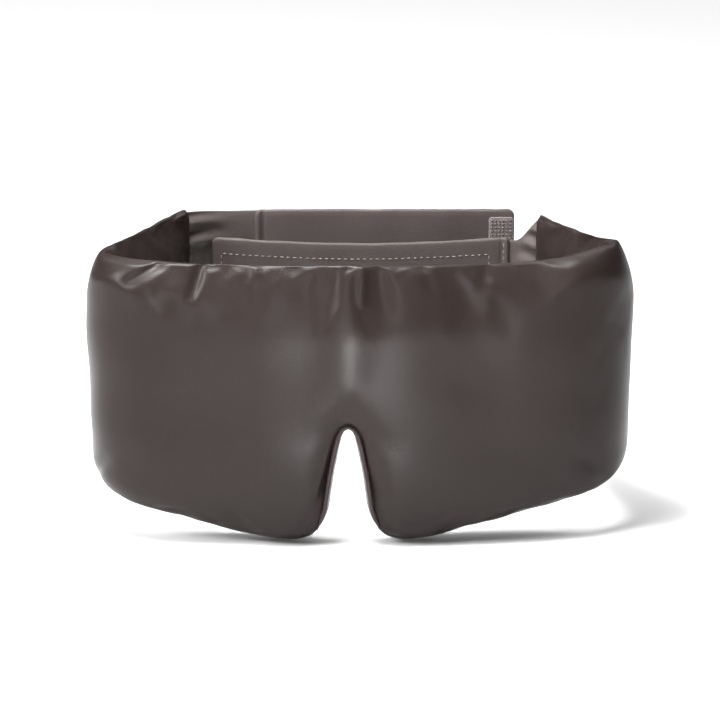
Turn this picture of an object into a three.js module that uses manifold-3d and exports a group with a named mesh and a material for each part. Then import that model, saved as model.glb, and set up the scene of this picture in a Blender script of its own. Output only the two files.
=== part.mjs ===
// A padded satin sleep mask that wraps round the head and closes at the back with hook-and-loop tape.
//
// Millimetres. Seen from the front, X runs to the right, Y from the front to the back and Z up. Left and
// right are the sides as seen from the front. The mask is drawn with Y = 0 at its brow, and moved at the end
// so that the origin is on the ground under its middle.
//
// The padded band is a bag of two satin panels round a layer of wadding. It follows a line in plan, the
// spine: left wing, left corner, front, right corner, right wing. A place on the band is given by u, the
// distance along the spine from the nose, and by an angle round its cross section. The band bends at its
// two corners, so each layer is made there in three lengths: left wing, front and right wing.
import * as THREE from "three";
import { mergeVertices } from "three/addons/utils/BufferGeometryUtils.js";
import Module from "manifold-3d";

const wasm = await Module();
wasm.setup();

// ---- Driving dimensions ----
const NOSE_X = -4; // the nose notch sits a little left of the middle of the worn loop
const TOP = 109; // height of the band's upper edge over the lowest point of its cheek lobes
const WING_END_LOW = 50; // height of the lower edge at the padded ends
const LOBE_FLAT = 18; // the lower edge starts to rise this far from the nose
const LOW_EDGE_POWER = 1.45; // how the lower edge curves up from the lobes to the wing ends
const CORNER_LIFT = 4; // the upper edge rides up at the right corner
const CORNER_LIFT_AT = 104;
const CORNER_LIFT_REACH = 24;

const CORNER_RADIUS = 20; // of the spine
const LEFT_CORNER = new THREE.Vector2(-77, 24);
const RIGHT_CORNER = new THREE.Vector2(78, 26);
const BRIDGE_Y = -4; // the nose bridge stands this far forward
const LEFT_END = new THREE.Vector2(-71, 96);
const RIGHT_END = new THREE.Vector2(73.5, 86);

const LOBE_THICK = 18;
const BRIDGE_THICK = 12;
const CORNER_THICK = 15;
const END_THICK = 6;
const BRIDGE_HALF = 26; // the padding thins towards the bridge over this distance
const END_TAPER = 30; // and towards the padded ends over this one
const EDGE_POWER = 5; // of the cross section's superellipse, so the faces stay flat to near the edges

const SATIN = 0.6; // thickness of a satin panel
const GAP = 0.3; // clearance between layers that touch
const HINGE_GAP = 0.5; // half the slit between two lengths of the band

const LEFT_STRAP_LONG = 107.5;
const RIGHT_STRAP_LONG = 125;
const STRAP_TALL = 46;
const STRAP_THICK = 2.2;
const STRAP_SATIN = 0.5;
const INTERLINING = 0.6;
const STRAP_CORNER = 3;
const LEFT_STRAP_TOP = 107;
const RIGHT_STRAP_TOP = 96;
const LEFT_STRAP_ROOT = -42.5;
const RIGHT_STRAP_ROOT = 62;
const RIGHT_STRAP_Y = 97; // inner face of the inner strap
const TAPE_THICK = 1.2;
const LOOP_LONG = 115;
const LOOP_TALL = 36;
const HOOK_LONG = 10;
const HOOK_TALL = 40;
const TAPE_INSET = 1.5; // from a tape's end to the strap's end
const THREAD = 0.4;
const STITCH_INSET = 1.5; // from the stitch line to the tape's edge
const TAIL_THICK = 0.8; // one satin layer with its seam allowance

const NOTCH_TOP = 47; // height of the notch's apex
const NOTCH_APEX_RADIUS = 2.4;
const NOTCH_FLARE_HEIGHT = 9;
const BINDING_WIDE = 2.3;
const BINDING_DEEP = 12;

// Layers of the straps from the head outwards.
const LOOP_Y = RIGHT_STRAP_Y + STRAP_THICK + GAP;
const HOOK_Y = LOOP_Y + TAPE_THICK + GAP;
const LEFT_STRAP_Y = HOOK_Y + TAPE_THICK + GAP;

// ---- Materials ----
const satin = (colour) => new THREE.MeshStandardMaterial({ color: colour, roughness: 0.42, metalness: 0 });
const outerSatin = satin(0x4c4341);
const liningSatin = satin(0x463d3b);
const wadding = new THREE.MeshStandardMaterial({ color: 0xe9e6e0, roughness: 1, metalness: 0 });
const interlining = new THREE.MeshStandardMaterial({ color: 0x2c2827, roughness: 0.95, metalness: 0 });
const tape = new THREE.MeshStandardMaterial({ color: 0x3d3634, roughness: 0.9, metalness: 0 });
const sewingThread = new THREE.MeshStandardMaterial({ color: 0x544b49, roughness: 0.6, metalness: 0 });

// ---- The spine ----
// The point where a line from outside touches a corner's circle, on the circle's left or right.
function touchPoint(centre, outside, sign) {
  const to = outside.clone().sub(centre);
  const angle = to.angle() + sign * Math.acos(CORNER_RADIUS / to.length());
  return { angle, at: new THREE.Vector2(Math.cos(angle), Math.sin(angle)).multiplyScalar(CORNER_RADIUS).add(centre) };
}

const bridge = new THREE.Vector2(NOSE_X, BRIDGE_Y);
const leftWingTouch = touchPoint(LEFT_CORNER, LEFT_END, 1);
const leftFrontTouch = touchPoint(LEFT_CORNER, bridge, -1);
const rightFrontTouch = touchPoint(RIGHT_CORNER, bridge, 1);
const rightWingTouch = touchPoint(RIGHT_CORNER, RIGHT_END, -1);

const spine = new THREE.Path();
spine.moveTo(LEFT_END.x, LEFT_END.y);
spine.lineTo(leftWingTouch.at.x, leftWingTouch.at.y);
spine.absarc(LEFT_CORNER.x, LEFT_CORNER.y, CORNER_RADIUS, leftWingTouch.angle, leftFrontTouch.angle, false);
spine.lineTo(bridge.x, bridge.y);
spine.lineTo(rightFrontTouch.at.x, rightFrontTouch.at.y);
spine.absarc(RIGHT_CORNER.x, RIGHT_CORNER.y, CORNER_RADIUS, rightFrontTouch.angle, rightWingTouch.angle, false);
spine.lineTo(RIGHT_END.x, RIGHT_END.y);

const spineLengths = spine.getCurveLengths();
const spineLong = spine.getLength();
const toNose = spineLengths[2]; // the first three pieces run from the left end to the nose
const LEFT_U = -toNose;
const RIGHT_U = spineLong - toNose;
const leftHingeU = (spineLengths[0] + spineLengths[1]) / 2 - toNose;
const rightHingeU = (spineLengths[3] + spineLengths[4]) / 2 - toNose;

// The spine's point at u, and the direction out of the loop there. Near the nose the direction turns
// smoothly, so that the front is rounded there and not folded.
function spineAt(u) {
  const share = THREE.MathUtils.clamp((u + toNose) / spineLong, 0, 1);
  const reach = 9;
  const before = spine.getPointAt(THREE.MathUtils.clamp((u - reach + toNose) / spineLong, 0, 1));
  const after = spine.getPointAt(THREE.MathUtils.clamp((u + reach + toNose) / spineLong, 0, 1));
  const nearNose = Math.abs(u) < reach;
  const along = nearNose ? after.sub(before).normalize() : spine.getTangentAt(share);
  const at = spine.getPointAt(share);
  if (nearNose) at.y += ((1 - Math.abs(u) / reach) ** 2 * reach) / 36;
  return { at, out: new THREE.Vector2(along.y, -along.x) };
}

// ---- The band's height and thickness along u ----
const ease = (x) => THREE.MathUtils.smoothstep(x, 0, 1);

function lowEdge(u) {
  const end = u < 0 ? -LEFT_U : RIGHT_U;
  const share = Math.max(0, Math.abs(u) - LOBE_FLAT) / (end - LOBE_FLAT);
  return WING_END_LOW * share ** LOW_EDGE_POWER;
}

const topEdge = (u) => TOP + CORNER_LIFT * Math.exp(-(((u - CORNER_LIFT_AT) / CORNER_LIFT_REACH) ** 2));

function thickness(u) {
  const end = u < 0 ? -LEFT_U : RIGHT_U;
  const lobe = THREE.MathUtils.lerp(BRIDGE_THICK, LOBE_THICK, ease(Math.abs(u) / BRIDGE_HALF));
  const side = THREE.MathUtils.lerp(lobe, CORNER_THICK, ease((Math.abs(u) - 60) / 40));
  return THREE.MathUtils.lerp(END_THICK, side, ease((end - Math.abs(u)) / END_TAPER));
}

// A point of the band: offset is the distance out of the spine, height the height over the ground.
function bandPoint(u, offset, height) {
  const { at, out } = spineAt(u);
  return new THREE.Vector3(at.x + out.x * offset, at.y + out.y * offset, height);
}

// Moves each vertex of a box of size 1 to the place that map gives it, and welds the box into one surface.
function bentBox(steps, map) {
  const box = new THREE.BoxGeometry(1, 1, 1, ...steps);
  box.deleteAttribute("normal");
  box.deleteAttribute("uv");
  const points = box.getAttribute("position");
  for (let i = 0; i < points.count; i++) {
    const moved = map(points.getX(i) + 0.5, points.getY(i) + 0.5, points.getZ(i) + 0.5);
    points.setXYZ(i, moved.x, moved.y, moved.z);
  }
  return mergeVertices(box, 1e-4);
}

// The superellipse of the cross section, inset from the band's surface: angle runs from -90 degrees at the
// lower seam, through 0 at mid height, to 90 degrees at the upper seam.
function sectionPoint(u, angle, inset) {
  const half = (topEdge(u) - lowEdge(u)) / 2;
  const rise = Math.sign(angle) * Math.abs(Math.sin(angle)) ** (2 / EDGE_POWER);
  const out = Math.max(Math.cos(angle), 0) * (thickness(u) / 2 - inset);
  return { out, height: lowEdge(u) + half + rise * (half - inset) };
}

// One satin panel of the band from u0 to u1. side is 1 for the outer panel and -1 for the lining.
function satinPanel(u0, u1, side, steps) {
  const seam = GAP / 2; // the two panels meet at the middle of the thickness
  return bentBox([steps, 12, 1], (a, b, c) => {
    const u = side > 0 ? THREE.MathUtils.lerp(u0, u1, a) : THREE.MathUtils.lerp(u1, u0, a);
    const p = sectionPoint(u, (b - 0.5) * Math.PI, (1 - c) * SATIN);
    return bandPoint(u, side * (p.out + seam), p.height);
  });
}

// The wadding inside the two panels from u0 to u1. It stops just short of the seams.
function waddingLayer(u0, u1, steps) {
  return bentBox([steps, 12, 2], (a, b, c) => {
    const u = THREE.MathUtils.lerp(u0, u1, a);
    const angle = THREE.MathUtils.clamp((b - 0.5) * 180, -84, 84);
    const p = sectionPoint(u, THREE.MathUtils.degToRad(angle), SATIN + GAP);
    return bandPoint(u, (c - 0.5) * 2 * p.out, p.height);
  });
}

// ---- Joining and cutting ----
function toSolid(geometry) {
  const bare = geometry.index ? geometry.toNonIndexed() : geometry.clone();
  bare.deleteAttribute("normal");
  bare.deleteAttribute("uv");
  const merged = mergeVertices(bare, 1e-4);
  return new wasm.Manifold(
    new wasm.Mesh({
      numProp: 3,
      vertProperties: new Float32Array(merged.getAttribute("position").array),
      triVerts: new Uint32Array(merged.index.array),
    }),
  );
}

function toGeometry(solid) {
  const mesh = solid.getMesh();
  const geometry = new THREE.BufferGeometry();
  geometry.setAttribute("position", new THREE.BufferAttribute(new Float32Array(mesh.vertProperties), 3));
  geometry.setIndex(new THREE.BufferAttribute(new Uint32Array(mesh.triVerts), 1));
  return geometry;
}

const cut = (geometry, tool) => toGeometry(toSolid(geometry).subtract(toSolid(tool)));

// ---- The nose notch ----
// Its outline in the X-Z plane: an inverted V with a round apex and flared feet, grown outwards by grow.
function notchShape(grow, foot) {
  const r = NOTCH_APEX_RADIUS + grow;
  const apex = NOTCH_TOP - NOTCH_APEX_RADIUS;
  const wall = 7.6 + grow; // half the width where the flare starts
  const shape = new THREE.Shape();
  shape.moveTo(-20 - grow, foot);
  shape.lineTo(-18 - grow, -0.5);
  shape.quadraticCurveTo(-wall - 2, 0.5, -wall, NOTCH_FLARE_HEIGHT);
  shape.quadraticCurveTo(-5.2 - grow, 26, -r, apex);
  shape.absarc(0, apex, r, Math.PI, 0, true);
  shape.quadraticCurveTo(5.2 + grow, 26, wall, NOTCH_FLARE_HEIGHT);
  shape.quadraticCurveTo(wall + 2, 0.5, 18 + grow, -0.5);
  shape.lineTo(20 + grow, foot);
  return shape;
}

// A shape drawn in the X-Z plane, extruded along Y from y0 for the given depth.
function upright(shape, y0, depth, curveSegments = 6) {
  const geometry = new THREE.ExtrudeGeometry(shape, { depth, bevelEnabled: false, curveSegments });
  return geometry.rotateX(Math.PI / 2).translate(0, y0 + depth, 0);
}

const notchTool = (grow) => upright(notchShape(grow, -20), -60, 90).translate(NOSE_X, 0, 0);

// The binding: the band between two notch outlines, above the ground.
function notchBinding() {
  const middle = spineAt(0).at.y;
  const outline = upright(notchShape(BINDING_WIDE, -6), middle - BINDING_DEEP / 2, BINDING_DEEP);
  const ring = cut(outline.translate(NOSE_X, 0, 0), notchTool(0));
  const below = new THREE.BoxGeometry(80, 60, 30).translate(NOSE_X, middle, 3.5 - 15);
  return cut(ring, below);
}

// ---- Straps, tapes and stitching ----
// A rectangle standing in the X-Z plane from x0 to x1 with all corners rounded.
function roundedRectangle(x0, x1, z0, z1, radius) {
  const shape = new THREE.Shape();
  shape.moveTo(x0 + radius, z0);
  shape.lineTo(x1 - radius, z0);
  shape.absarc(x1 - radius, z0 + radius, radius, -Math.PI / 2, 0, false);
  shape.lineTo(x1, z1 - radius);
  shape.absarc(x1 - radius, z1 - radius, radius, 0, Math.PI / 2, false);
  shape.lineTo(x0 + radius, z1);
  shape.absarc(x0 + radius, z1 - radius, radius, Math.PI / 2, Math.PI, false);
  shape.lineTo(x0, z0 + radius);
  shape.absarc(x0 + radius, z0 + radius, radius, Math.PI, 1.5 * Math.PI, false);
  return shape;
}

// A plate of that outline between y and y + thick.
const plate = (x0, x1, z0, z1, radius, y, thick) => upright(roundedRectangle(x0, x1, z0, z1, radius), y, thick, 3);

// A strap runs from its root to its tip along X, the left one to the right and the right one to the left.
function strapSpan(root, towards, inset) {
  const long = towards > 0 ? LEFT_STRAP_LONG : RIGHT_STRAP_LONG;
  const tip = root + towards * (long - inset);
  return towards > 0 ? [root, tip] : [tip, root];
}

// The satin sleeve: flat, closed at its tip and along its edges, open at its root.
function strapSleeve(root, towards, top, y) {
  const [x0, x1] = strapSpan(root, towards, 0);
  const whole = plate(x0, x1, top - STRAP_TALL, top, STRAP_CORNER, y, STRAP_THICK);
  const [h0, h1] = strapSpan(root - towards * 5, towards, STRAP_SATIN - 5);
  const hollow = plate(
    h0,
    h1,
    top - STRAP_TALL + STRAP_SATIN,
    top - STRAP_SATIN,
    STRAP_CORNER - STRAP_SATIN,
    y + STRAP_SATIN,
    STRAP_THICK - 2 * STRAP_SATIN,
  );
  return cut(whole, hollow);
}

function strapInterlining(root, towards, top, y) {
  const edge = STRAP_SATIN + GAP;
  const [x0, x1] = strapSpan(root + towards, towards, edge + 1);
  const middle = y + (STRAP_THICK - INTERLINING) / 2;
  return plate(x0, x1, top - STRAP_TALL + edge, top - edge, STRAP_CORNER - edge, middle, INTERLINING);
}

// A line of sewing thread round a rectangle, lying on the plane y to y + THREAD.
function stitchRing(x0, x1, z0, z1, y) {
  const outline = roundedRectangle(x0, x1, z0, z1, 1);
  const t = THREAD;
  outline.holes.push(roundedRectangle(x0 + t, x1 - t, z0 + t, z1 - t, 0.7));
  return upright(outline, y, THREAD, 2);
}

// One satin layer of a tail, the short unpadded length that joins a wing's end to its strap. It leaves
// the wing along the wing, turns, and arrives along the strap. layer is 1 outside and -1 inside.
function tailLayer(u, strapX, strapY, strapTop, layer) {
  const { at, out } = spineAt(u);
  const side = Math.sign(u);
  const back = new THREE.Vector2(-out.y, out.x).multiplyScalar(side);
  const from = at.clone().addScaledVector(back, HINGE_GAP * 2);
  const to = new THREE.Vector2(strapX + side * HINGE_GAP * 2, strapY + STRAP_THICK / 2);
  const turn = from.clone().addScaledVector(back, (to.y - from.y) / back.y);
  const bend = new THREE.QuadraticBezierCurve(from, turn, to);
  const inner = layer > 0 ? GAP / 2 : -GAP / 2 - TAIL_THICK;
  return bentBox([8, 3, 1], (a, b, c) => {
    const share = side > 0 ? 1 - a : a;
    const p = bend.getPoint(share);
    const along = bend.getTangent(share).multiplyScalar(side);
    const normal = new THREE.Vector2(-along.y, along.x);
    const offset = -(inner + (1 - c) * TAIL_THICK);
    const low = THREE.MathUtils.lerp(lowEdge(u), strapTop - STRAP_TALL, ease(share));
    const high = THREE.MathUtils.lerp(topEdge(u), strapTop, ease(share));
    return new THREE.Vector3(p.x + normal.x * offset, p.y + normal.y * offset, THREE.MathUtils.lerp(low, high, b));
  });
}

// ---- The mask ----
const mask = new THREE.Group();

function add(name, geometry, material) {
  const mesh = new THREE.Mesh(geometry, material);
  mesh.name = name;
  mask.add(mesh);
}

function addBand() {
  const lengths = [
    ["left_wing", LEFT_U, leftHingeU - HINGE_GAP, 12],
    ["front", leftHingeU + HINGE_GAP, rightHingeU - HINGE_GAP, 36],
    ["right_wing", rightHingeU + HINGE_GAP, RIGHT_U, 12],
  ];
  for (const [name, u0, u1, steps] of lengths) {
    const layers = [
      ["outer_satin", satinPanel(u0, u1, 1, steps), outerSatin, BINDING_WIDE + GAP],
      ["lining", satinPanel(u0, u1, -1, steps), liningSatin, BINDING_WIDE + GAP],
      ["wadding", waddingLayer(u0, u1, steps), wadding, BINDING_WIDE + GAP * 2],
    ];
    for (const [layer, geometry, material, clear] of layers) {
      const shape = name === "front" ? cut(geometry, notchTool(clear)) : geometry;
      add(`${name}_${layer}`, shape, material);
    }
  }
  add("nose_notch_binding", notchBinding(), outerSatin);
}

function addLeftStrap() {
  const top = LEFT_STRAP_TOP;
  const root = LEFT_STRAP_ROOT;
  const tip = root + LEFT_STRAP_LONG;
  add("left_tail_outer", tailLayer(LEFT_U, root, LEFT_STRAP_Y, top, 1), outerSatin);
  add("left_tail_lining", tailLayer(LEFT_U, root, LEFT_STRAP_Y, top, -1), liningSatin);
  add("left_strap_sleeve", strapSleeve(root, 1, top, LEFT_STRAP_Y), outerSatin);
  add("left_strap_interlining", strapInterlining(root, 1, top, LEFT_STRAP_Y), interlining);
  const x1 = tip - TAPE_INSET;
  const x0 = x1 - HOOK_LONG;
  const z0 = top - (STRAP_TALL + HOOK_TALL) / 2;
  const z1 = z0 + HOOK_TALL;
  add("hook_tape", plate(x0, x1, z0, z1, 1, HOOK_Y, TAPE_THICK), tape);
  const s = STITCH_INSET;
  const outside = LEFT_STRAP_Y + STRAP_THICK + GAP;
  add("hook_tape_stitching", stitchRing(x0 + s, x1 - s, z0 + s, z1 - s, outside), sewingThread);
  const seamX = root + 2.5;
  const seam = plate(seamX, seamX + THREAD, top - STRAP_TALL + 2, top - 2, 0.1, outside, THREAD);
  add("left_strap_seam_stitching", seam, sewingThread);
}

function addRightStrap() {
  const top = RIGHT_STRAP_TOP;
  const root = RIGHT_STRAP_ROOT;
  add("right_tail_outer", tailLayer(RIGHT_U, root, RIGHT_STRAP_Y, top, 1), outerSatin);
  add("right_tail_lining", tailLayer(RIGHT_U, root, RIGHT_STRAP_Y, top, -1), liningSatin);
  add("right_strap_sleeve", strapSleeve(root, -1, top, RIGHT_STRAP_Y), outerSatin);
  add("right_strap_interlining", strapInterlining(root, -1, top, RIGHT_STRAP_Y), interlining);
  const x0 = root - RIGHT_STRAP_LONG + 2 * TAPE_INSET;
  const x1 = x0 + LOOP_LONG;
  const z0 = top - (STRAP_TALL + LOOP_TALL) / 2;
  const z1 = z0 + LOOP_TALL;
  add("loop_tape", plate(x0, x1, z0, z1, 1, LOOP_Y, TAPE_THICK), tape);
  const s = STITCH_INSET;
  const inside = RIGHT_STRAP_Y - GAP - THREAD;
  add("loop_tape_stitching", stitchRing(x0 + s, x1 - s, z0 + s, z1 - s, inside), sewingThread);
  const seamX = root - 2.5 - THREAD;
  const seam = plate(seamX, seamX + THREAD, top - STRAP_TALL + 2, top - 2, 0.1, inside, THREAD);
  add("right_strap_seam_stitching", seam, sewingThread);
}

// Puts the origin on the ground under the middle of everything.
function centre() {
  const middle = new THREE.Box3().setFromObject(mask).getCenter(new THREE.Vector3());
  for (const mesh of mask.children) mesh.geometry.translate(-middle.x, -middle.y, 0);
}

addBand();
addLeftStrap();
addRightStrap();
centre();

export default mask;
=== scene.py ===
"""A padded satin sleep mask that wraps round the head and closes behind it with hook-and-loop tape."""

import logging
import math
from dataclasses import dataclass, field
from enum import Enum
from typing import Callable, Sequence

import bmesh
import bpy
import numpy as np
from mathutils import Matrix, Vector, noise


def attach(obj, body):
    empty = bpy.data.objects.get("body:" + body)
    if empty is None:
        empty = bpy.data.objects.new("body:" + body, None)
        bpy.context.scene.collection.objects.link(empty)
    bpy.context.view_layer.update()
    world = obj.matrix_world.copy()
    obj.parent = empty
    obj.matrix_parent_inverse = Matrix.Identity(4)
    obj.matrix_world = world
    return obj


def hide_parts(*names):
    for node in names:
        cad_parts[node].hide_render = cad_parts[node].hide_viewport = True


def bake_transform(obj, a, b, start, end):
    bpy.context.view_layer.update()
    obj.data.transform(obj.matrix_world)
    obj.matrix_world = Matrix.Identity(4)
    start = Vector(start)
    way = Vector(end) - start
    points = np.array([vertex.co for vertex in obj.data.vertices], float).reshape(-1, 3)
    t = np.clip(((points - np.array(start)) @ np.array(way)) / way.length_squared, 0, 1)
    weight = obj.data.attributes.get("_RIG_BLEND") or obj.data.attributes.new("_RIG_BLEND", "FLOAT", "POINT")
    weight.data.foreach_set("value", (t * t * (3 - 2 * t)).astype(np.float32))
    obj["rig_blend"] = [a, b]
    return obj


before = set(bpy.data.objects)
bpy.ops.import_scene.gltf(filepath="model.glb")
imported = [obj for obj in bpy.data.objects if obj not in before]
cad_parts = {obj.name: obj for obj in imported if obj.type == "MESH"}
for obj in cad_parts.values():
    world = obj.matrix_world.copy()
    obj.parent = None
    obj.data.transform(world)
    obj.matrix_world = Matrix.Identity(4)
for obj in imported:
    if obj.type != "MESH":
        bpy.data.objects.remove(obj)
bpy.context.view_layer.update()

LOG = logging.getLogger("sleep_mask")
MM = 0.001
DRAWN_TO_ROW = Vector((-0.56, -47.43, 0.0))  # millimetres from the drawing's origin to the row's


class Side(Enum):
    """Which half of the mask, as seen from the front."""

    LEFT = -1
    RIGHT = 1


class Face(Enum):
    """Which skin of the padded band."""

    OUTER = 1
    LINING = -1


# ---- Small tools ----


def row(x: float, y: float, z: float) -> Vector:
    """The row-frame point, in metres, of a drawn point in millimetres."""
    return (Vector((x, y, z)) + DRAWN_TO_ROW) * MM


def ease(x: float) -> float:
    """A smooth step from 0 to 1."""
    x = min(max(x, 0.0), 1.0)
    return x * x * (3 - 2 * x)


def mix(a: float, b: float, share: float) -> float:
    """The value that lies the given share of the way from a to b."""
    return a + (b - a) * share


def roundness(x: float, power: float) -> float:
    """How full a rounded edge is, from 0 at the edge to 1 where x reaches 1."""
    x = min(max(x, 0.0), 1.0)
    return (1 - (1 - x) ** power) ** (1 / power)


def to_object(bm: bmesh.types.BMesh, name: str, smooth: bool = True) -> bpy.types.Object:
    """Turns a bmesh drawn in millimetres into an object that sits at the row's origin.

    Args:
        bm: the shape; it is freed.
        name: the piece's name.
        smooth: whether its faces are shaded smooth.

    Returns:
        The new object.
    """
    bmesh.ops.translate(bm, verts=bm.verts, vec=DRAWN_TO_ROW)
    bmesh.ops.scale(bm, verts=bm.verts, vec=(MM, MM, MM))
    bmesh.ops.recalc_face_normals(bm, faces=bm.faces)
    mesh = bpy.data.meshes.new(name)
    bm.to_mesh(mesh)
    bm.free()
    for polygon in mesh.polygons:
        polygon.use_smooth = smooth
    obj = bpy.data.objects.new(name, mesh)
    bpy.context.scene.collection.objects.link(obj)
    return obj


def bent_grid(
    bm: bmesh.types.BMesh, steps: tuple[int, int], place: Callable[[float, float], Vector]
) -> list[bmesh.types.BMVert]:
    """Adds a grid whose vertices go where place puts them.

    Args:
        bm: the mesh to add to.
        steps: the number of faces along each direction.
        place: gives the point for a place on the grid, each coordinate from 0 to 1.

    Returns:
        The grid's vertices.
    """
    made = bmesh.ops.create_grid(bm, x_segments=steps[0], y_segments=steps[1], size=0.5)
    for v in made["verts"]:
        v.co = place(min(max(v.co.x + 0.5, 0), 1), min(max(v.co.y + 0.5, 0), 1))
    return made["verts"]


def weld(bm: bmesh.types.BMesh, distance: float = 1e-4) -> None:
    """Joins the vertices that meet."""
    bmesh.ops.remove_doubles(bm, verts=bm.verts, dist=distance)


def apply_modifiers(obj: bpy.types.Object) -> None:
    """Replaces the object's mesh with what its modifiers make of it."""
    depsgraph = bpy.context.evaluated_depsgraph_get()
    mesh = bpy.data.meshes.new_from_object(obj.evaluated_get(depsgraph), depsgraph=depsgraph)
    obj.modifiers.clear()
    obj.data = mesh


# ---- Materials ----


class Term:
    """A shader value that takes part in arithmetic."""

    def __init__(self, nodes: "NodeKit", socket: bpy.types.NodeSocket) -> None:
        """Wraps a socket of the node kit."""
        self.nodes = nodes
        self.socket = socket

    def _math(self, operation: str, first: object, second: object) -> "Term":
        """Adds a Math node of that operation on two values."""
        return self.nodes.add("ShaderNodeMath", {"operation": operation}, {0: first, 1: second})

    def __add__(self, other: object) -> "Term":
        """self + other."""
        return self._math("ADD", self, other)

    __radd__ = __add__

    def __mul__(self, other: object) -> "Term":
        """self * other."""
        return self._math("MULTIPLY", self, other)

    __rmul__ = __mul__

    def __sub__(self, other: object) -> "Term":
        """self - other."""
        return self._math("SUBTRACT", self, other)

    def __rsub__(self, other: object) -> "Term":
        """other - self."""
        return self._math("SUBTRACT", other, self)


class NodeKit:
    """Builds one material's nodes."""

    def __init__(self, name: str) -> None:
        """Makes an empty material of that name with a Principled shader."""
        self.material = bpy.data.materials.new(name)
        self.material.use_nodes = True
        self.tree = self.material.node_tree
        self.shader = self.tree.nodes["Principled BSDF"]

    def add(
        self, kind: str, settings: dict[str, object], sockets: dict[object, object], out: int = 0
    ) -> Term:
        """Adds a node.

        Args:
            kind: the node's type.
            settings: its properties, set first.
            sockets: values or links of its input sockets.
            out: which output to return.

        Returns:
            The output as a term.
        """
        node = self.tree.nodes.new(kind)
        for key, value in settings.items():
            setattr(node, key, value)
        for key, value in sockets.items():
            self.feed(node.inputs[key], value)
        return Term(self, node.outputs[out])

    def feed(self, socket: bpy.types.NodeSocket, value: object) -> None:
        """Links a term to the socket, or sets its value."""
        if isinstance(value, Term):
            self.tree.links.new(value.socket, socket)
        else:
            socket.default_value = value

    def place(self, scale: Sequence[float]) -> Term:
        """Object coordinates, stretched."""
        where = self.add("ShaderNodeTexCoord", {}, {}, out=3)
        return self.add("ShaderNodeMapping", {}, {"Vector": where, "Scale": scale})

    def noise(self, scale: Sequence[float], detail: float = 2.0) -> Term:
        """Noise from 0 to 1 on object coordinates."""
        return self.add(
            "ShaderNodeTexNoise", {}, {"Vector": self.place(scale), "Scale": 1.0, "Detail": detail}
        )

    def blend_colours(self, share: Term, first: Sequence[float], second: Sequence[float]) -> Term:
        """Mixes two colours by a value."""
        node = self.tree.nodes.new("ShaderNodeMix")
        node.data_type = "RGBA"
        self.feed(node.inputs["Factor"], share)
        colours = [s for s in node.inputs if s.type == "RGBA"]
        colours[0].default_value = (*first, 1)
        colours[1].default_value = (*second, 1)
        return Term(self, next(s for s in node.outputs if s.type == "RGBA"))

    def bump(self, height: Term, depth: float) -> Term:
        """A normal pushed by a height in metres."""
        return self.add("ShaderNodeBump", {}, {"Height": height, "Distance": depth, "Strength": 1.0})


@dataclass(frozen=True)
class Satin:
    """Polyester satin: dark, with a broad soft gloss and a very fine weave."""

    name: str
    colour: tuple[float, float, float]
    roughness: float = 0.34
    spread: float = 0.10
    weave_depth: float = 0.00004
    mottle: float = 0.07

    def material(self) -> bpy.types.Material:
        """Makes the material."""
        kit = NodeKit(self.name)
        cloud = kit.noise((55, 55, 55), 3)
        grain = kit.noise((1500, 1500, 1500), 2)
        threads = kit.noise((900, 900, 4200), 1)
        dark = tuple(c * (1 - self.mottle) for c in self.colour)
        light = tuple(c * (1 + self.mottle) for c in self.colour)
        kit.feed(kit.shader.inputs["Base Color"], kit.blend_colours(cloud * 0.5 + grain * 0.5, dark, light))
        kit.feed(kit.shader.inputs["Roughness"], (cloud + grain - 1.0) * self.spread + self.roughness)
        kit.feed(kit.shader.inputs["Normal"], kit.bump(threads, self.weave_depth))
        kit.feed(kit.shader.inputs["IOR"], 1.25)
        return kit.material


@dataclass(frozen=True)
class Pile:
    """A woven tape with a fuzzy or bristly face."""

    name: str
    colour: tuple[float, float, float]
    grain: float = 1500.0
    depth: float = 0.0003

    def material(self) -> bpy.types.Material:
        """Makes the material."""
        kit = NodeKit(self.name)
        fuzz = kit.noise((self.grain,) * 3, 3)
        dark = tuple(c * 0.6 for c in self.colour)
        light = tuple(c * 1.5 for c in self.colour)
        kit.feed(kit.shader.inputs["Base Color"], kit.blend_colours(fuzz, dark, light))
        kit.feed(kit.shader.inputs["Roughness"], fuzz * 0.2 + 0.7)
        kit.feed(kit.shader.inputs["Normal"], kit.bump(fuzz, self.depth))
        kit.feed(kit.shader.inputs["Sheen Weight"], 0.3)
        return kit.material


@dataclass(frozen=True)
class SewingThread:
    """Twisted polyester thread."""

    name: str
    colour: tuple[float, float, float]

    def material(self) -> bpy.types.Material:
        """Makes the material."""
        kit = NodeKit(self.name)
        twist = kit.noise((6000, 6000, 6000), 1)
        dark = tuple(c * 0.85 for c in self.colour)
        kit.feed(kit.shader.inputs["Base Color"], kit.blend_colours(twist, dark, self.colour))
        kit.feed(kit.shader.inputs["Roughness"], 0.5)
        return kit.material


@dataclass(frozen=True)
class Paper:
    """The seamless pale ground of a studio."""

    name: str
    colour: tuple[float, float, float]

    def material(self) -> bpy.types.Material:
        """Makes the material."""
        kit = NodeKit(self.name)
        kit.feed(kit.shader.inputs["Base Color"], (*self.colour, 1))
        kit.feed(kit.shader.inputs["Roughness"], 0.9)
        return kit.material


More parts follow.
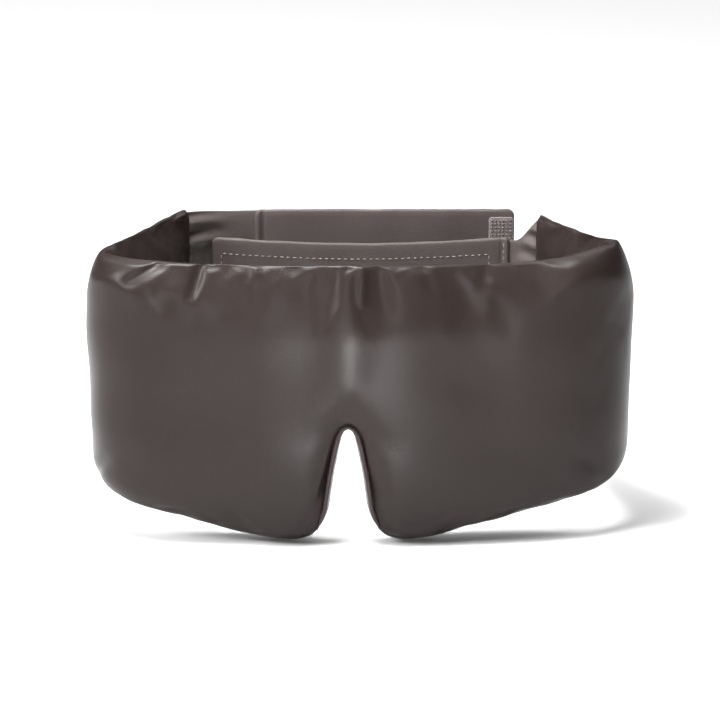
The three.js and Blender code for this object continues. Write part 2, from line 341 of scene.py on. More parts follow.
@dataclass
class Finishes:
    """The mask's materials."""

    satin: bpy.types.Material = field(
        default_factory=lambda: Satin("charcoal_satin", (0.0170, 0.0120, 0.0111), mottle=0.16).material()
    )
    # The straps and tails are the band's own satin with a much lighter base colour: painted light standing in
    # for the light that falls on their faces.
    painted_light_strap_satin: bpy.types.Material = field(
        default_factory=lambda: Satin(
            "painted_light_strap_satin", (0.0720, 0.0595, 0.0560), 0.5, weave_depth=0.00008, mottle=0.2
        ).material()
    )
    # The notch's rolled edge is the band's own satin with a lighter base colour: a painted highlight along
    # the roll.
    painted_highlight_binding_satin: bpy.types.Material = field(
        default_factory=lambda: Satin("painted_highlight_binding_satin", (0.034, 0.0255, 0.0238), 0.34).material()
    )
    loop: bpy.types.Material = field(
        default_factory=lambda: Pile("loop_pile", (0.07, 0.056, 0.053)).material()
    )
    hook: bpy.types.Material = field(
        default_factory=lambda: Pile("hook_bristle", (0.12, 0.10, 0.097), 2500.0).material()
    )
    thread: bpy.types.Material = field(
        default_factory=lambda: SewingThread("sewing_thread", (0.20, 0.17, 0.16)).material()
    )


# ---- The line that the band follows ----


@dataclass
class Spine:
    """The band's middle line in plan: left wing, left corner, front, right corner, right wing."""

    nose: tuple[float, float] = (-4.0, -4.0)
    left_corner: tuple[float, float] = (-77.0, 24.0)
    right_corner: tuple[float, float] = (78.0, 26.0)
    radius: float = 20.0
    left_end: tuple[float, float] = (-71.0, 96.0)
    right_end: tuple[float, float] = (73.5, 86.0)
    step: float = 0.5
    softness: int = 13  # half the smoothing window, in steps

    def __post_init__(self) -> None:
        """Samples the line and smooths it."""
        a, b = self._touch(self.left_corner, self.left_end, 1), self._touch(self.left_corner, self.nose, -1)
        c = self._touch(self.right_corner, self.nose, 1)
        d = self._touch(self.right_corner, self.right_end, -1)
        points = [np.array(self.left_end)]
        points += self._arc(self.left_corner, a, b)
        points += [np.array(self.nose)]
        points += self._arc(self.right_corner, c, d)
        points += [np.array(self.right_end)]
        line = np.array(points)
        along = np.concatenate([[0], np.cumsum(np.linalg.norm(np.diff(line, axis=0), axis=1))])
        nose_at = along[int(np.argmin(np.linalg.norm(line - np.array(self.nose), axis=1)))]
        self.left = -float(nose_at)
        self.right = float(along[-1] - nose_at)
        self.u = np.arange(self.left, self.right, self.step)
        raw = np.stack([np.interp(self.u + nose_at, along, line[:, k]) for k in (0, 1)], axis=1)
        window = np.hanning(2 * self.softness + 3)[1:-1]
        window /= window.sum()
        padded = np.concatenate(
            [
                raw[0] + (raw[0] - raw[1 : self.softness + 1])[::-1],
                raw,
                raw[-1] + (raw[-1] - raw[-self.softness - 1 : -1])[::-1],
            ]
        )
        self.points = np.stack([np.convolve(padded[:, k], window, "valid") for k in (0, 1)], axis=1)
        slope = np.gradient(self.points, axis=0)
        slope /= np.linalg.norm(slope, axis=1)[:, None]
        self.outward = np.stack([slope[:, 1], -slope[:, 0]], axis=1)

    def _touch(self, centre: tuple[float, float], outside: tuple[float, float], sign: int) -> float:
        """The angle on a corner's circle where a line from outside touches it."""
        dx, dy = outside[0] - centre[0], outside[1] - centre[1]
        return math.atan2(dy, dx) + sign * math.acos(self.radius / math.hypot(dx, dy))

    def _arc(self, centre: tuple[float, float], start: float, end: float) -> list[np.ndarray]:
        """Points along a corner's circle, counter-clockwise."""
        turn = (end - start) % (2 * math.pi)
        angles = [start + turn * k / 40 for k in range(41)]
        return [np.array(centre) + self.radius * np.array((math.cos(t), math.sin(t))) for t in angles]

    def place(self, u: float, offset: float, height: float) -> Vector:
        """The point at distance u along the line, offset out of it, at a height."""
        x, y = (np.interp(u, self.u, self.points[:, k]) for k in (0, 1))
        ox, oy = (np.interp(u, self.u, self.outward[:, k]) for k in (0, 1))
        return Vector((x + ox * offset, y + oy * offset, height))


# ---- The padded band ----


@dataclass(frozen=True)
class Fold:
    """A crease or a ridge on one skin of the band, from start to end, each a (u, height)."""

    start: tuple[float, float]
    end: tuple[float, float]
    width: float
    rise: float
    face: Face = Face.OUTER

    def lift(self, u: float, height: float) -> float:
        """How far the fold lifts the skin at a place."""
        ax, ay = self.start
        dx, dy = self.end[0] - ax, self.end[1] - ay
        share = min(max(((u - ax) * dx + (height - ay) * dy) / (dx * dx + dy * dy), 0), 1)
        away = math.hypot(u - ax - dx * share, height - ay - dy * share)
        if away > 3 * self.width:
            return 0.0
        return self.rise * math.exp(-((away / self.width) ** 2)) * math.sin(math.pi * mix(0.2, 0.8, share))


BAND_FOLDS = (
    Fold((-68, 110), (-80, 102), 1.6, -1.8),
    Fold((-55, 109), (-58, 97), 1.9, -2.2),
    Fold((-78, 99), (-61, 101), 5.5, 1.6),
    Fold((-45, 108), (-48, 101), 5.0, -1.2),
    Fold((-35, 109), (-35, 102), 2.2, 1.1),
    Fold((-18, 108), (-22, 97), 8.0, -1.0),
    Fold((-86, 107), (-95, 102), 2.0, -0.9),
    Fold((5.2, 111), (4.6, 96), 1.9, 1.5),
    Fold((11.5, 108), (13, 93), 3.4, -0.8),
    Fold((1.0, 96), (-3.0, 58), 9.0, 0.9),
    Fold((28, 108), (31, 100), 2.2, -0.7),
    Fold((52, 108), (50, 101), 2.4, -0.7),
    Fold((-104, 50), (-104, 24), 3.0, -0.8),
    Fold((-98, 22), (-90, 30), 2.5, -0.8),
    Fold((96, 24), (89, 33), 2.5, -0.8),
    Fold((-170, 60), (-184, 62), 2.6, -0.9),
    Fold((-166, 78), (-185, 80), 3.0, -1.0),
    Fold((-168, 96), (-185, 94), 2.6, -0.9),
    Fold((-120, 106), (-124, 96), 2.6, -0.8),
    Fold((-140, 107), (-143, 98), 2.4, -0.8),
    Fold((152, 62), (168, 64), 2.6, -0.9),
    Fold((150, 80), (168, 82), 3.0, -1.0),
    Fold((152, 98), (168, 96), 2.6, -0.9),
    Fold((128, 110), (130, 100), 2.6, -0.8),
    Fold((-101, 108), (-98, 94), 3.0, -2.2, Face.LINING),
    Fold((-112, 107), (-118, 92), 3.5, 1.5, Face.LINING),
    Fold((-104, 90), (-103, 40), 4.5, -2.0, Face.LINING),
    Fold((104, 112), (101, 90), 3.5, -2.4, Face.LINING),
    Fold((118, 111), (126, 94), 4.0, 1.8, Face.LINING),
    Fold((136, 109), (146, 96), 3.0, -1.6, Face.LINING),
    Fold((106, 90), (104, 40), 5.0, -2.0, Face.LINING),
)


@dataclass
class Band:
    """The padded bag of satin, wadding inside, that covers the eyes and wraps round the temples."""

    spine: Spine
    finishes: Finishes
    top: float = 109.0
    wing_end_low: float = 50.0
    lobe_flat: float = 18.0
    low_power: float = 1.45
    corner_lift: float = 4.0
    lobe_thick: float = 17.0
    bridge_thick: float = 15.5
    corner_thick: float = 14.5
    end_thick: float = 5.5
    rows: int = 44
    edge_round: float = 12.0
    top_round: float = 28.0
    corner_round: float = 9.0  # the same as top_round, at the corners
    end_round: float = 4.0  # and at the wings' ends
    end_taper: float = 30.0
    top_power: float = 1.55
    pucker_rise: float = 0.26
    fine_rise: float = 0.06
    broad_rise: float = 0.9
    seam_inset: float = 0.7
    sim_frames: int = 20
    sim_cap: float = 1.6
    # the notch's half width at heights up to its apex
    notch: tuple[tuple[float, float], ...] = (
        (0.0, 21.0), (0.6, 17.5), (2.2, 14.0), (5.5, 10.9), (13.7, 7.9),
        (27.5, 5.9), (38.0, 3.9), (43.0, 2.7), (45.4, 1.7), (46.4, 0.8), (46.7, 0.0),
    )

    def top_edge(self, u: float) -> float:
        """Height of the upper edge."""
        return self.top + self.corner_lift * math.exp(-(((u - 104) / 24) ** 2))

    def outline_low(self, u: float) -> float:
        """Height of the lower edge, the notch left out."""
        end = -self.spine.left if u < 0 else self.spine.right
        share = max(0, abs(u) - self.lobe_flat) / (end - self.lobe_flat)
        return self.wing_end_low * share**self.low_power

    def low_edge(self, u: float) -> float:
        """Height of the lower edge with the notch."""
        if abs(u) >= self.notch[0][1]:
            return self.outline_low(u)
        heights, halves = zip(*reversed(self.notch))
        return float(np.interp(abs(u), halves, heights))

    def notch_distance(self, u: float, height: float) -> float:
        """Distance from the notch's edge."""
        heights, halves = zip(*self.notch)
        points = np.array([halves, heights]).T
        p = np.array((abs(u), height))
        a, d = points[:-1], np.diff(points, axis=0)
        share = np.clip(((p - a) * d).sum(1) / (d * d).sum(1), 0, 1)
        return float(np.linalg.norm(p - a - d * share[:, None], axis=1).min())

    def edge_distance(self, u: float, height: float) -> float:
        """Distance from the nearest sewn edge."""
        above = self.top_edge(u) - height
        below = height - self.outline_low(u)
        if abs(u) < 60:
            return min(above, below if abs(u) > 19 else 99, self.notch_distance(u, height))
        return min(above, below)

    def rim(self, u: float) -> float:
        """How far below the upper edge the band reaches its full thickness: less at the corners."""
        return mix(self.top_round, self.corner_round, math.exp(-(((abs(u) - 88) / 20) ** 2)))

    def half_thickness(self, u: float, height: float) -> float:
        """Distance from the spine to the skin."""
        end = -self.spine.left if u < 0 else self.spine.right
        lobe = mix(self.bridge_thick, self.lobe_thick, ease((abs(u) - 4) / 30))
        side = mix(lobe, self.corner_thick, ease((abs(u) - 60) / 40))
        full = mix(self.end_thick, side, ease((end - abs(u)) / 34))
        reach = mix(4.0, self.edge_round, ease((end - abs(u)) / 30))
        rim = mix(self.end_round, self.rim(u), ease((end - abs(u)) / self.end_taper))
        fullness = roundness((self.top_edge(u) - height) / rim, self.top_power)
        if abs(u) < 60:
            fullness *= mix(0.28, 1, roundness(self.notch_distance(u, height) / 10, 1.8))
        slant = math.cos(math.atan2(self.wing_end_low, end))
        fullness *= roundness((height - self.outline_low(u)) * slant / reach, 2.1) if abs(u) > 14 else 1
        fullness *= roundness((end - abs(u)) / 3.5, 2)
        return full / 2 * fullness

    def columns(self) -> list[float]:
        """Places along the spine for the mesh's columns, closer together near the nose."""
        places = [0.0]
        for end in (self.spine.right, -self.spine.left):
            u, half = 0.0, []
            while u < end - 0.6:
                close_up = min(abs(u) / 24, (end - u) / 10)
                u = min(u + mix(0.75, 2.3, ease(close_up)), end)
                half.append(u)
            half[-1] = end
            places = [-p for p in reversed(half)] + places if end == -self.spine.left else places + half
        return places

    def skins(self) -> bpy.types.Object:
        """Both skins as one closed bag, with the place along the spine and the height kept on each vertex."""
        bm = bmesh.new()
        u_layer = bm.verts.layers.float.new("along")
        h_layer = bm.verts.layers.float.new("height")
        f_layer = bm.verts.layers.float.new("face")
        places = self.columns()
        for face in Face:
            made = bmesh.ops.create_grid(bm, x_segments=len(places) - 1, y_segments=self.rows, size=0.5)
            for v in made["verts"]:
                u = float(np.interp(v.co.x + 0.5, np.linspace(0, 1, len(places)), places))
                b = v.co.y + 0.5
                b -= 0.095 * math.sin(2 * math.pi * b)
                low, high = self.low_edge(u), self.top_edge(u)
                height = mix(low, high, b)
                edge = b < 1e-6 or b > 1 - 1e-6
                half = 0 if edge else self.half_thickness(u, height)
                if edge and abs(u) > 12:
                    height += self.seam_inset if b < 0.5 else -self.seam_inset
                v.co = self.spine.place(u, face.value * half, height)
                v[u_layer], v[h_layer], v[f_layer] = u, height, face.value * (not edge)
        weld(bm)
        return to_object(bm, "band_bag")

    def inflate(self, obj: bpy.types.Object) -> None:
        """Lets the wadding push the skins out between the sewn edges.

        Args:
            obj: the bag; its mesh is replaced.
        """
        rest = np.array([v.co for v in obj.data.vertices])
        sewn = obj.vertex_groups.new(name="sewn")
        face = [a.value for a in obj.data.attributes["face"].data]
        sewn.add([i for i, f in enumerate(face) if abs(f) < 0.5], 1.0, "REPLACE")
        obj.modifiers.new("skins", "CLOTH")
        cloth = obj.modifiers["skins"].settings
        cloth.vertex_group_mass = "sewn"
        cloth.quality = 6
        cloth.mass = 0.15
        cloth.tension_stiffness = cloth.compression_stiffness = 25
        cloth.shear_stiffness = 8
        cloth.bending_stiffness = 1.2
        cloth.use_pressure = True
        cloth.uniform_pressure_force = 4.0
        cloth.shrink_min = -0.012
        cloth.effector_weights.gravity = 0
        obj.modifiers["skins"].collision_settings.use_collision = False
        scene = bpy.context.scene
        obj.modifiers["skins"].point_cache.frame_start = 1
        obj.modifiers["skins"].point_cache.frame_end = self.sim_frames
        for number in range(1, self.sim_frames + 1):
            scene.frame_set(number)
        apply_modifiers(obj)
        scene.frame_set(1)
        moved = np.array([v.co for v in obj.data.vertices])
        step = moved - rest
        length = np.linalg.norm(step, axis=1)[:, None]
        cap = self.sim_cap * MM
        step *= cap * np.tanh(length / cap) / np.maximum(length, 1e-9)
        obj.data.vertices.foreach_set("co", (rest + step).ravel())
        LOG.info("wadding moved the skins by up to %.1f mm", float(length.max()) * 1000)

    def wrinkle(self, obj: bpy.types.Object) -> None:
        """Adds the folds, the puckers along the sewn edges and a soft unevenness to the finer mesh."""
        mesh = obj.data
        along, height, face = (
            np.array([a.value for a in mesh.attributes[name].data]) for name in ("along", "height", "face")
        )
        for v in mesh.vertices:
            u, h, f = along[v.index], height[v.index], face[v.index]
            edge = self.edge_distance(u, h)
            sign = 1 if f > 0 else -1
            near = math.exp(-edge / 9) * (1 - math.exp(-((edge / 1.6) ** 2)))
            pucker = noise.noise(Vector((u * 0.115, h * 0.02, 3.0 * sign)))
            fine = noise.noise(Vector((u * 0.3, h * 0.05, 8.0 * sign)))
            broad = noise.noise(Vector((u * 0.030, h * 0.045, 5.0 * sign)))
            strength = 1.0 if f > 0 else 3.0
            lift = near * strength * (self.pucker_rise * pucker + self.fine_rise * fine)
            lift += broad * self.broad_rise * min(edge / self.edge_round, 1)
            lift += sum(fold.lift(u, h) for fold in BAND_FOLDS if fold.face.value == sign)
            v.co += (self.spine.place(u, 1, 0) - self.spine.place(u, 0, 0)) * sign * lift * abs(f) * MM

    def half(self, whole: bpy.types.Object, side: Side) -> bpy.types.Object:
        """One half of the bag, closed where it meets the other inside the nose bridge.

        Args:
            whole: the finished bag.
            side: which half.

        Returns:
            The half, with the whole's own normals so that the two halves shade as one.
        """
        bm = bmesh.new()
        bm.from_mesh(whole.data)
        u_layer = bm.verts.layers.float["along"]
        nx, ny, nz = (bm.verts.layers.float.new(name) for name in ("nx", "ny", "nz"))
        bm.normal_update()
        for v in bm.verts:
            v[nx], v[ny], v[nz] = v.normal
        wrong = [f for f in bm.faces if sum(v[u_layer] for v in f.verts) / len(f.verts) * side.value < 0]
        bmesh.ops.delete(bm, geom=wrong, context="FACES")
        rim = [e for e in bm.edges if e.is_boundary]
        bmesh.ops.contextual_create(bm, geom=rim)
        bmesh.ops.triangulate(bm, faces=[f for f in bm.faces if len(f.verts) > 4])
        normals = [(v[nx], v[ny], v[nz]) for v in bm.verts]
        name = f"padded_band_{side.name.lower()}"
        mesh = bpy.data.meshes.new(name)
        bm.to_mesh(mesh)
        bm.free()
        for polygon in mesh.polygons:
            polygon.use_smooth = True
        mesh.normals_split_custom_set_from_vertices(normals)
        for layer in ("along", "height", "face", "nx", "ny", "nz"):
            mesh.attributes.remove(mesh.attributes[layer])
        obj = bpy.data.objects.new(name, mesh)
        bpy.context.scene.collection.objects.link(obj)
        mesh.materials.append(self.finishes.satin)
        return obj

    def build(self) -> None:
        """Makes the band, and bends each half at its corner."""
        bag = self.skins()
        self.inflate(bag)
        finer = bag.modifiers.new("finer", "SUBSURF")
        finer.levels = finer.render_levels = 1
        apply_modifiers(bag)
        self.wrinkle(bag)
        left, right = self.half(bag, Side.LEFT), self.half(bag, Side.RIGHT)
        bpy.data.objects.remove(bag)
        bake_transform(left, "front", "left_wing", row(-81.5, 4.5, 60), row(-95.5, 32, 60))
        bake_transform(right, "front", "right_wing", row(80.5, 6.2, 60), row(96.2, 34.3, 60))
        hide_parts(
            "front_outer_satin", "front_lining", "front_wadding",
            "left_wing_outer_satin", "left_wing_lining", "left_wing_wadding",
        )
        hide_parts("right_wing_outer_satin", "right_wing_lining", "right_wing_wadding")
        for half in (left, right):
            LOG.info("%s: %d faces", half.name, len(half.data.polygons))
        self.notch_roll()

    def notch_roll(self) -> None:
        """The rolled edge of lining that is turned to the front round the notch and stitched down."""
        heights, halves = zip(*self.notch)
        left = [(-w, h) for h, w in zip(heights, halves) if 2.5 < h < heights[-1]]
        outline = np.array(left + [(0.0, heights[-1])] + [(-x, h) for x, h in reversed(left)])
        steps = np.concatenate([[0], np.cumsum(np.linalg.norm(np.diff(outline, axis=0), axis=1))])
        fine = np.linspace(0, steps[-1], 161)
        path = np.stack([np.interp(fine, steps, outline[:, k]) for k in (0, 1)], axis=1)
        for _ in range(3):
            path[1:-1] = (path[:-2] + 2 * path[1:-1] + path[2:]) / 4
        slope = np.gradient(path, axis=0)
        slope /= np.linalg.norm(slope, axis=1)[:, None]

        def place(a: float, b: float) -> Vector:
            """The point on the roll at share a along the notch and share b round its section."""
            at = a * 160
            u, h = (np.interp(at, np.arange(161), path[:, k]) for k in (0, 1))
            sx, sh = (np.interp(at, np.arange(161), slope[:, k]) for k in (0, 1))
            turn = 2 * math.pi * b
            tuck = ease(min(a, 1 - a) / 0.06)
            wide = mix(0.25, 1.15, tuck) * (1 + 0.10 * noise.noise(Vector((at * 0.3, 1, 1))))
            deep = self.half_thickness(u - sh * 2.2, max(h + sx * 2.2, 0.5)) + mix(-1.6, 0.75, tuck)
            across = math.copysign(abs(math.cos(turn)) ** 0.8, math.cos(turn)) * wide
            out = math.copysign(abs(math.sin(turn)) ** 0.8, math.sin(turn)) * deep
            return self.spine.place(u - sh * (across + 0.7), out, max(h + sx * (across + 0.7), 0.25))

        bm = bmesh.new()
        bent_grid(bm, (160, 16), place)
        weld(bm)
        bmesh.ops.holes_fill(bm, edges=[e for e in bm.edges if e.is_boundary], sides=40)
        roll = to_object(bm, "notch_rolled_edge")
        # The roll takes the lighter binding satin: a painted highlight, not a different cloth.
        roll.data.materials.append(self.finishes.painted_highlight_binding_satin)
        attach(roll, "front")
        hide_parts("nose_notch_binding")
        LOG.info("notch roll: %d faces", len(roll.data.polygons))


# ---- Tails and straps ----


@dataclass
class Tail:
    """The short unpadded end of the band, two satin layers gathered into the padded end's seam."""

    side: Side
    spine: Spine
    finishes: Finishes
    wing: tuple[float, float]
    strap: tuple[float, float]
    heights: tuple[float, float, float, float]  # low and high at the wing, low and high at the strap
    blend: tuple[str, str]
    bend: tuple[Vector, Vector]
    flat: tuple[float, float]
    tuck: float = 4.0

    def path(self, share: float) -> tuple[Vector, Vector]:
        """The tail's middle line in plan: its point, and the direction out of the loop."""
        end = self.spine.left if self.side is Side.LEFT else self.spine.right
        out = self.spine.place(end, 1, 0) - self.spine.place(end, 0, 0)
        back = Vector((-out.y, out.x, 0)) * self.side.value
        start = Vector((*self.wing, 0)) - back * self.tuck
        finish = Vector((*self.strap, 0))
        turn = start + back * ((finish.y - start.y) / back.y)
        point = start * (1 - share) ** 2 + turn * 2 * share * (1 - share) + finish * share**2
        slope = ((turn - start) * (1 - share) + (finish - turn) * share).normalized()
        return point, Vector((slope.y, -slope.x, 0)) * self.side.value

    def place(self, a: float, b: float) -> Vector:
        """The point at share a along the tail and share b round its section."""
        point, out = self.path(a)
        low = mix(self.heights[0] + 1.5, self.heights[2], ease(a * 1.3))
        high = mix(self.heights[1] - 1.5, self.heights[3], ease(a * 1.3))
        turn = 2 * math.pi * b
        rise = math.copysign(abs(math.sin(turn)) ** 0.35, math.sin(turn))
        height = mix(low, high, 0.5 + rise / 2)
        thick = mix(1.6, 0.85, ease(a * 2)) * math.copysign(abs(math.cos(turn)) ** 0.6, math.cos(turn))
        gather = 1.7 * ease(a * 7) * (1 - ease((a - 0.1) / 0.75))
        pleat = math.sin(height * 0.78 + 2.2 * noise.noise(Vector((height * 0.06, 4, self.side.value))))
        sway = 0.8 * noise.noise(Vector((height * 0.05, a * 3, 9))) * math.sin(math.pi * a)
        offset = thick + gather * pleat * (1 - abs(rise) ** 8) + sway
        return point + out * offset + Vector((0, 0, height))

    def build(self) -> None:
        """Makes the tail and bends it where it leaves the padded end."""
        bm = bmesh.new()
        bent_grid(bm, (34, 150), self.place)
        weld(bm)
        bmesh.ops.holes_fill(bm, edges=[e for e in bm.edges if e.is_boundary], sides=400)
        name = f"gathered_tail_{self.side.name.lower()}"
        tail = to_object(bm, name)
        # The tail takes the lighter strap satin: painted light, not a different cloth.
        tail.data.materials.append(self.finishes.painted_light_strap_satin)
        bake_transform(tail, *self.blend, *self.bend)
        prefix = self.side.name.lower()
        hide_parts(f"{prefix}_tail_outer", f"{prefix}_tail_lining")
        LOG.info("%s: %d faces", name, len(tail.data.polygons))


@dataclass
class Strap:
    """A satin sleeve with its tape and stitching, standing in a plane across the back."""

    side: Side
    finishes: Finishes
    root: float
    long: float
    top: float
    inner_y: float
    body: str
    bend: tuple[str, Vector, Vector] | None = None
    tall: float = 46.0
    thick: float = 2.2
    sag: float = 0.0

    @property
    def prefix(self) -> str:
        """left or right."""
        return self.side.name.lower()

    @property
    def tip(self) -> float:
        """Where the strap ends."""
        return self.root - self.side.value * self.long

    def settle(self, obj: bpy.types.Object) -> None:
        """Makes a piece move with the strap, bending with it where it bends."""
        if self.bend:
            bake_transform(obj, self.bend[0], self.body, self.bend[1], self.bend[2])
        else:
            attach(obj, self.body)

    def wave(self, x: float, z: float) -> float:
        """How far the strap's cloth stands out of its plane."""
        far = ease(abs(x - self.root) / 12)
        return far * 0.5 * noise.noise(Vector((x * 0.045, z * 0.03, self.side.value * 4)))

    def droop(self, x: float) -> float:
        """How far the strap sags at a place along it."""
        return -self.sag * math.sin(math.pi * min(abs(x - self.root) / self.long, 1))

    def slab(
        self, x0: float, x1: float, z0: float, z1: float, y0: float, y1: float, corner: float
    ) -> bmesh.types.BMesh:
        """A soft-edged plate that follows the strap's waves.

        Args:
            x0, x1, z0, z1: its outline.
            y0, y1: its faces.
            corner: the radius of its outline's corners.

        Returns:
            The plate as a bmesh.
        """
        bm = bmesh.new()
        bmesh.ops.create_cube(bm, size=1)
        bmesh.ops.scale(bm, vec=(x1 - x0, y1 - y0, z1 - z0), verts=bm.verts)
        bmesh.ops.translate(bm, vec=((x0 + x1) / 2, (y0 + y1) / 2, (z0 + z1) / 2), verts=bm.verts)
        upright = [e for e in bm.edges if abs(e.verts[0].co.y - e.verts[1].co.y) > 1e-6]
        bmesh.ops.bevel(
            bm, geom=upright, offset=corner, segments=4, profile=0.5, affect="EDGES", material=-1
        )
        rims = [
            e for e in bm.edges
            if len(e.link_faces) == 2 and any(abs(f.normal.y) > 0.9 for f in e.link_faces)
            and not all(abs(f.normal.y) > 0.9 for f in e.link_faces)
        ]
        bm.normal_update()
        bmesh.ops.bevel(
            bm, geom=rims, offset=(y1 - y0) * 0.45, segments=3, profile=0.5, affect="EDGES", material=-1
        )
        for axis, low, high, spacing in (((1, 0, 0), x0, x1, 2.5), ((0, 0, 1), z0, z1, 3.0)):
            count = int((high - low) / spacing)
            for k in range(1, count):
                at = mix(low, high, k / count)
                cut = (at, 0, 0) if axis[0] else (0, 0, at)
                bmesh.ops.bisect_plane(
                    bm, geom=bm.verts[:] + bm.edges[:] + bm.faces[:], plane_co=cut, plane_no=axis
                )
        return bm

    def waved(self, bm: bmesh.types.BMesh) -> bmesh.types.BMesh:
        """Pushes a plate's vertices by the strap's waves."""
        for v in bm.verts:
            v.co.y += self.wave(v.co.x, v.co.z)
            v.co.z += self.droop(v.co.x)
        return bm

    def sleeve(self) -> None:
        """The satin sleeve: softly uneven along its edges, with a raised hem at its root."""
        x0, x1 = sorted((self.root, self.tip))
        bm = self.slab(x0, x1, self.top - self.tall, self.top, self.inner_y, self.inner_y + self.thick, 3.0)
        middle = self.inner_y + self.thick / 2
        inwards = 1 if self.tip > self.root else -1
        for k in range(1, 9):
            bmesh.ops.bisect_plane(
                bm, geom=bm.verts[:] + bm.edges[:] + bm.faces[:],
                plane_co=(self.root + inwards * k * 0.6, 0, 0), plane_no=(1, 0, 0),
            )
        for v in bm.verts:
            side = 1 if v.co.y > middle else -1
            edge = min(self.top - v.co.z, v.co.z - self.top + self.tall)
            pull = 0.25 * noise.noise(Vector((v.co.x * 0.25, v.co.z * 0.03, side * 6)))
            from_root = abs(v.co.x - self.root)
            ridge = 0.55 * math.exp(-(((from_root - 1.6) / 1.0) ** 2))
            groove = 0.3 * math.exp(-(((from_root - 3.8) / 0.8) ** 2))
            hem = ridge - groove
            v.co.y += side * (pull * math.exp(-edge / 5) + hem)
            outwards = 1 if v.co.z > self.top - self.tall / 2 else -1
            v.co.z += 0.35 * noise.noise(Vector((v.co.x * 0.09, side, 2))) * outwards
        sleeve = to_object(self.waved(bm), f"{self.prefix}_strap")
        # The sleeve takes the lighter strap satin: painted light, not a different cloth.
        sleeve.data.materials.append(self.finishes.painted_light_strap_satin)
        self.settle(sleeve)
        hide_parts(f"{self.prefix}_strap_sleeve", f"{self.prefix}_strap_interlining")
        LOG.info("%s: %d faces", sleeve.name, len(sleeve.data.polygons))

    def stitches(self, name: str, corners: Sequence[tuple[float, float]], y: float, node: str) -> None:
        """A line of stitches through the given corners.

        Args:
            name: the piece's name.
            corners: the line's corners as (x, z).
            y: the plane that it lies on.
            node: the CAD node that it stands for.
        """
        bm = bmesh.new()
        for (ax, az), (bx, bz) in zip(corners, corners[1:]):
            run = math.hypot(bx - ax, bz - az)
            count = max(int(run / 2.6), 1)
            for k in range(count):
                share = (k + 0.5) / count
                x, z = mix(ax, bx, share), mix(az, bz, share)
                made = bmesh.ops.create_icosphere(bm, subdivisions=1, radius=1)
                across = abs(bx - ax) > abs(bz - az)
                size = (0.95, 0.22, 0.24) if across else (0.24, 0.22, 0.95)
                bmesh.ops.scale(bm, vec=size, verts=made["verts"])
                bmesh.ops.translate(bm, vec=(x, y + self.wave(x, z), z + self.droop(x)), verts=made["verts"])
        line = to_object(bm, name)
        line.data.materials.append(self.finishes.thread)
        self.settle(line)
        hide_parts(node)
        LOG.info("%s: %d faces", name, len(line.data.polygons))


@dataclass
class HookStrap(Strap):
    """The left strap, which closes over the right one and holds on to it with its hook tape."""

    hook: tuple[float, float, float, float] = (53.5, 63.5, 64.0, 104.0)
    hook_y: float = 101.0
    hook_thick: float = 1.2

    def build(self) -> None:
        """Makes the strap, its hook tape and its stitching."""
        self.sleeve()
        x0, x1, z0, z1 = self.hook
        bm = self.slab(x0, x1, z0, z1, self.hook_y + 0.35, self.hook_y + self.hook_thick + 0.15, 1.2)
        for column in range(6):
            for line in range(26):
                x, z = x0 + 1.2 + column * 1.52, z0 + 1.4 + line * 1.49
                made = bmesh.ops.create_cone(
                    bm, cap_ends=True, segments=5, radius1=0.2, radius2=0.42, depth=0.5
                )
                for v in made["verts"]:
                    v.co = Vector((x + v.co.x, self.hook_y + 0.3 - v.co.z * 0.9, z + v.co.y))
        tape = to_object(self.waved(bm), "hook_tape_strip")
        tape.data.materials.append(self.finishes.hook)
        self.settle(tape)
        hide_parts("hook_tape")
        s, y = 1.5, self.inner_y + self.thick + 0.08
        ring = [(x0 + s, z0 + s), (x1 - s, z0 + s), (x1 - s, z1 - s), (x0 + s, z1 - s), (x0 + s, z0 + s)]
        self.stitches("hook_tape_stitches", ring, y, "hook_tape_stitching")
        seam = [(self.root + 2.6, self.top - self.tall + 2), (self.root + 2.6, self.top - 2)]
        self.stitches("left_strap_seam_stitches", seam, y, "left_strap_seam_stitching")


@dataclass
class LoopStrap(Strap):
    """The right strap, which lies next to the head and carries the loop tape on its outer face."""

    loop: tuple[float, float, float, float] = (-58.0, 55.0, 55.5, 91.5)
    loop_y: float = 99.5
    loop_thick: float = 1.2

    def build(self) -> None:
        """Makes the strap, its loop tape and its stitching."""
        self.sleeve()
        x0, x1, z0, z1 = self.loop
        bm = self.slab(x0, x1, z0, z1, self.loop_y - 0.2, self.loop_y + self.loop_thick - 0.1, 1.5)
        tape = to_object(self.waved(bm), "loop_tape_strip")
        tape.data.materials.append(self.finishes.loop)
        self.settle(tape)
        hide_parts("loop_tape")
        s, y = 1.5, self.inner_y - 0.08
        ring = [(x0 + s, z0 + s), (x1 - s, z0 + s), (x1 - s, z1 - s), (x0 + s, z1 - s), (x0 + s, z0 + s)]
        self.stitches("loop_tape_stitches", ring, y, "loop_tape_stitching")
        seam = [(self.root - 2.9, self.top - self.tall + 2), (self.root - 2.9, self.top - 2)]
        self.stitches("right_strap_seam_stitches", seam, y, "right_strap_seam_stitching")


# ---- The studio ----


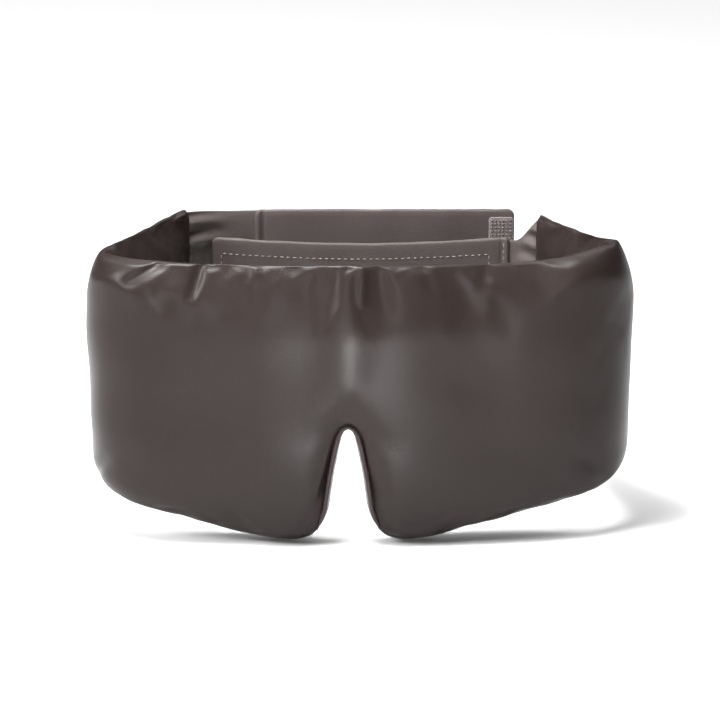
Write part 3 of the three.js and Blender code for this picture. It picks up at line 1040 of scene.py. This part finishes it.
@dataclass
class Studio:
    """A pale ground, soft lights and a camera."""

    target: Vector = field(default_factory=lambda: Vector((-0.0001, -0.058, 0.0742)))
    distance: float = 0.985
    elevation: float = 15.5
    lens: float = 132.0

    def ground(self) -> None:
        """Lays the floor."""
        bm = bmesh.new()
        bmesh.ops.create_grid(bm, x_segments=1, y_segments=1, size=4)
        mesh = bpy.data.meshes.new("floor")
        bm.to_mesh(mesh)
        bm.free()
        floor = bpy.data.objects.new("floor", mesh)
        floor.location.z = -0.0005
        bpy.context.scene.collection.objects.link(floor)
        mesh.materials.append(Paper("pale_paper", (0.9, 0.9, 0.9)).material())

    def lamp(
        self,
        name: str,
        at: Vector,
        size: tuple[float, float],
        power: float,
        aim: Vector = Vector((0, 0, 0.06)),
    ) -> None:
        """Places a soft rectangular light.

        Args:
            name: the light's name.
            at: its middle.
            size: its width and height.
            power: its power in watts.
            aim: the point that it faces.
        """
        light = bpy.data.lights.new(name, "AREA")
        light.shape = "RECTANGLE"
        light.size, light.size_y = size
        light.energy = power
        lamp = bpy.data.objects.new(name, light)
        lamp.location = at
        lamp.rotation_euler = (aim - at).to_track_quat("-Z", "Y").to_euler()
        bpy.context.scene.collection.objects.link(lamp)

    def build(self) -> None:
        """Sets up the ground, the lights, the surroundings and the camera."""
        self.ground()
        self.lamp("front_strip", Vector((-0.20, -1.9, 0.60)), (0.28, 1.15), 9)
        low = Vector((0.008, -0.70, 0.004))
        self.lamp("low_strip", low, (0.030, 0.92), 9.5, low + Vector((0, 0, 0.996)))
        self.lamp("high_softbox", Vector((-1.48, -0.64, 1.18)), (0.8, 0.8), 44)
        self.lamp("loop_light", Vector((-0.10, -0.05, 0.55)), (0.3, 0.2), 7.0)
        self.lamp("top_softbox", Vector((-0.25, 1.4, 4.0)), (7.0, 7.0), 250, Vector((0, 0.7, 0)))
        world = bpy.data.worlds.new("surroundings")
        world.use_nodes = True
        world.node_tree.nodes["Background"].inputs["Color"].default_value = (1, 1, 1, 1)
        world.node_tree.nodes["Background"].inputs["Strength"].default_value = 0.05
        bpy.context.scene.world = world
        camera = bpy.data.cameras.new("camera")
        camera.lens = self.lens
        holder = bpy.data.objects.new("camera", camera)
        angle = math.radians(self.elevation)
        away = Vector((0, -math.cos(angle), math.sin(angle))) * self.distance
        holder.location = self.target + away
        holder.rotation_euler = (-away).to_track_quat("-Z", "Y").to_euler()
        bpy.context.scene.collection.objects.link(holder)
        bpy.context.scene.camera = holder
        bpy.context.scene.view_settings.view_transform = "Standard"


def main() -> None:
    """Builds the mask and its studio."""
    logging.basicConfig(level=logging.INFO, format="%(name)s: %(message)s")
    finishes = Finishes()
    spine = Spine()
    Band(spine, finishes).build()
    Tail(
        Side.LEFT, spine, finishes, wing=(-71, 96), strap=(-41.2, 103.6), heights=(50, 109, 61.5, 106.5),
        blend=("left_wing", "left_tail"), bend=(row(-72.5, 92.5, 80), row(-65, 102, 80)), flat=(0.059, 0.044),
    ).build()
    Tail(
        Side.RIGHT, spine, finishes, wing=(73.5, 86), strap=(60.6, 98.1), heights=(50, 109, 50.6, 95.4),
        blend=("right_wing", "right_strap"), bend=(row(75.3, 82, 80), row(69, 93, 80)), flat=(0.059, 0.026),
    ).build()
    HookStrap(
        Side.LEFT, finishes, root=-43.0, long=107.0, top=107.0, inner_y=102.5, body="left_strap",
        bend=("left_tail", row(-42.5, 103.6, 80), row(-30, 103.6, 80)),
    ).build()
    LoopStrap(
        Side.RIGHT, finishes, root=62.3, long=122.6, top=96.5, inner_y=97.0, body="right_strap", sag=2.6,
    ).build()
    Studio().build()


if __name__ == "__main__":
    main()
